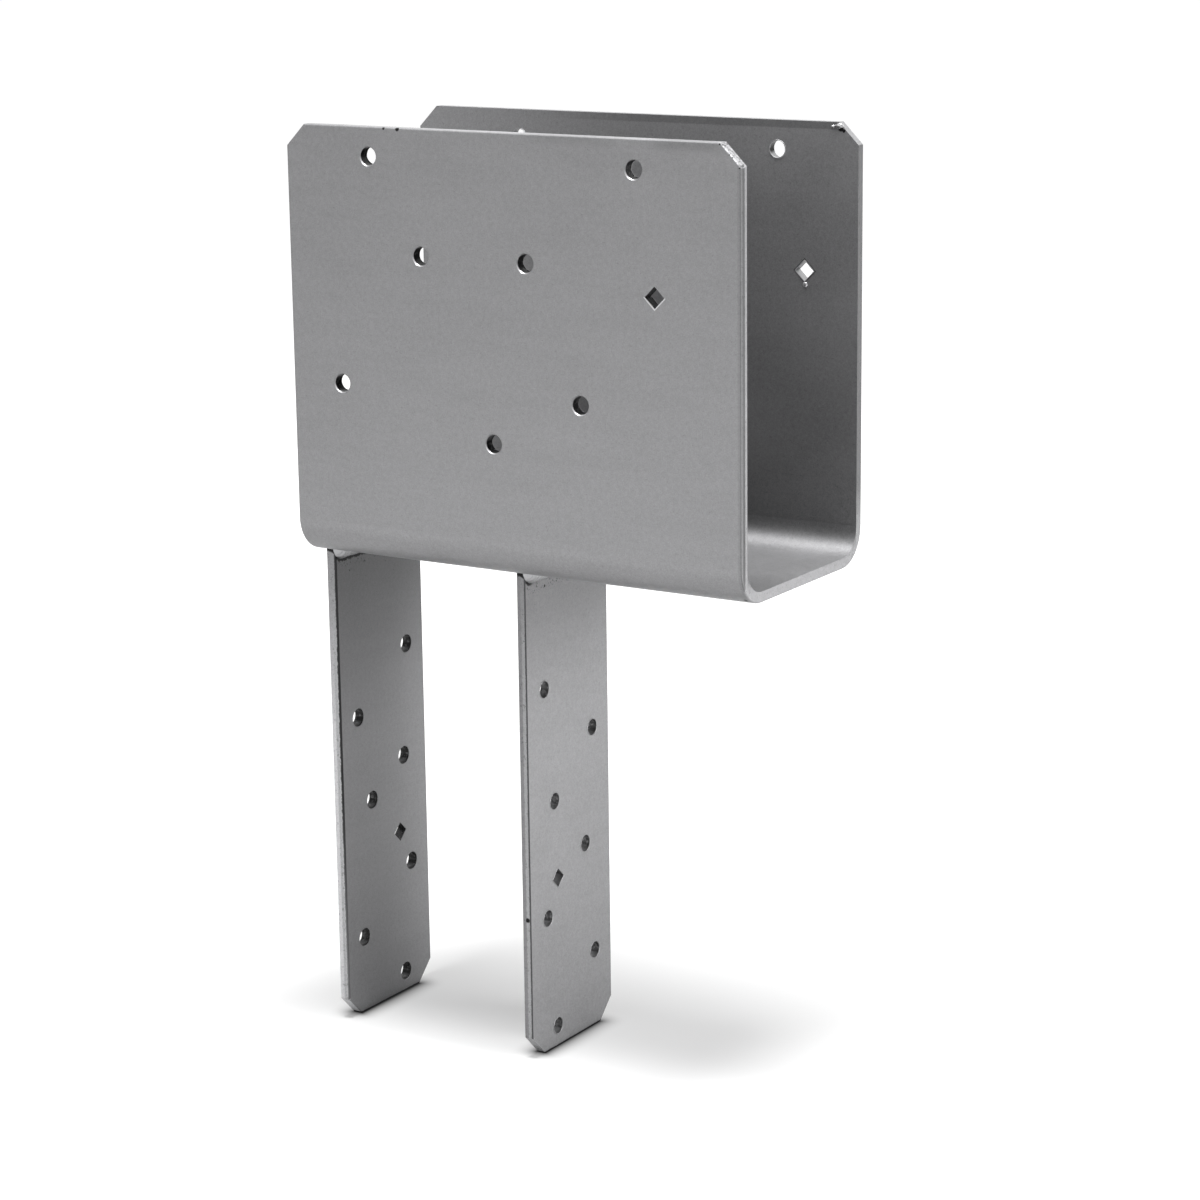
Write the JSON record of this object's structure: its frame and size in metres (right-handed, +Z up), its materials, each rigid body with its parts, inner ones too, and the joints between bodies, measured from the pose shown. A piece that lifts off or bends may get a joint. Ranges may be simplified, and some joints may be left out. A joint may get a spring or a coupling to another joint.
{
  "type": "column end cap",
  "caption": "Welded steel cap for the top of an end column: a folded saddle open above and at both ends holds the beam, and straps below run down the column's faces.",
  "frame": {"origin": "on the ground between the strap feet, under the middle of the saddle", "axes": "+X along the beam towards its inner end, +Y across it, +Z up"},
  "size_m": [0.216, 0.1012, 0.3983],
  "materials": {
    "painted_steel": "satin grey paint over sheared and welded steel"
  },
  "bodies": {
    "root": {"saddle": "painted_steel", "outer_strap": "painted_steel", "inner_strap": "painted_steel", "outer_strap_weld": "painted_steel", "inner_strap_weld": "painted_steel"}
  },
  "joints": []
}
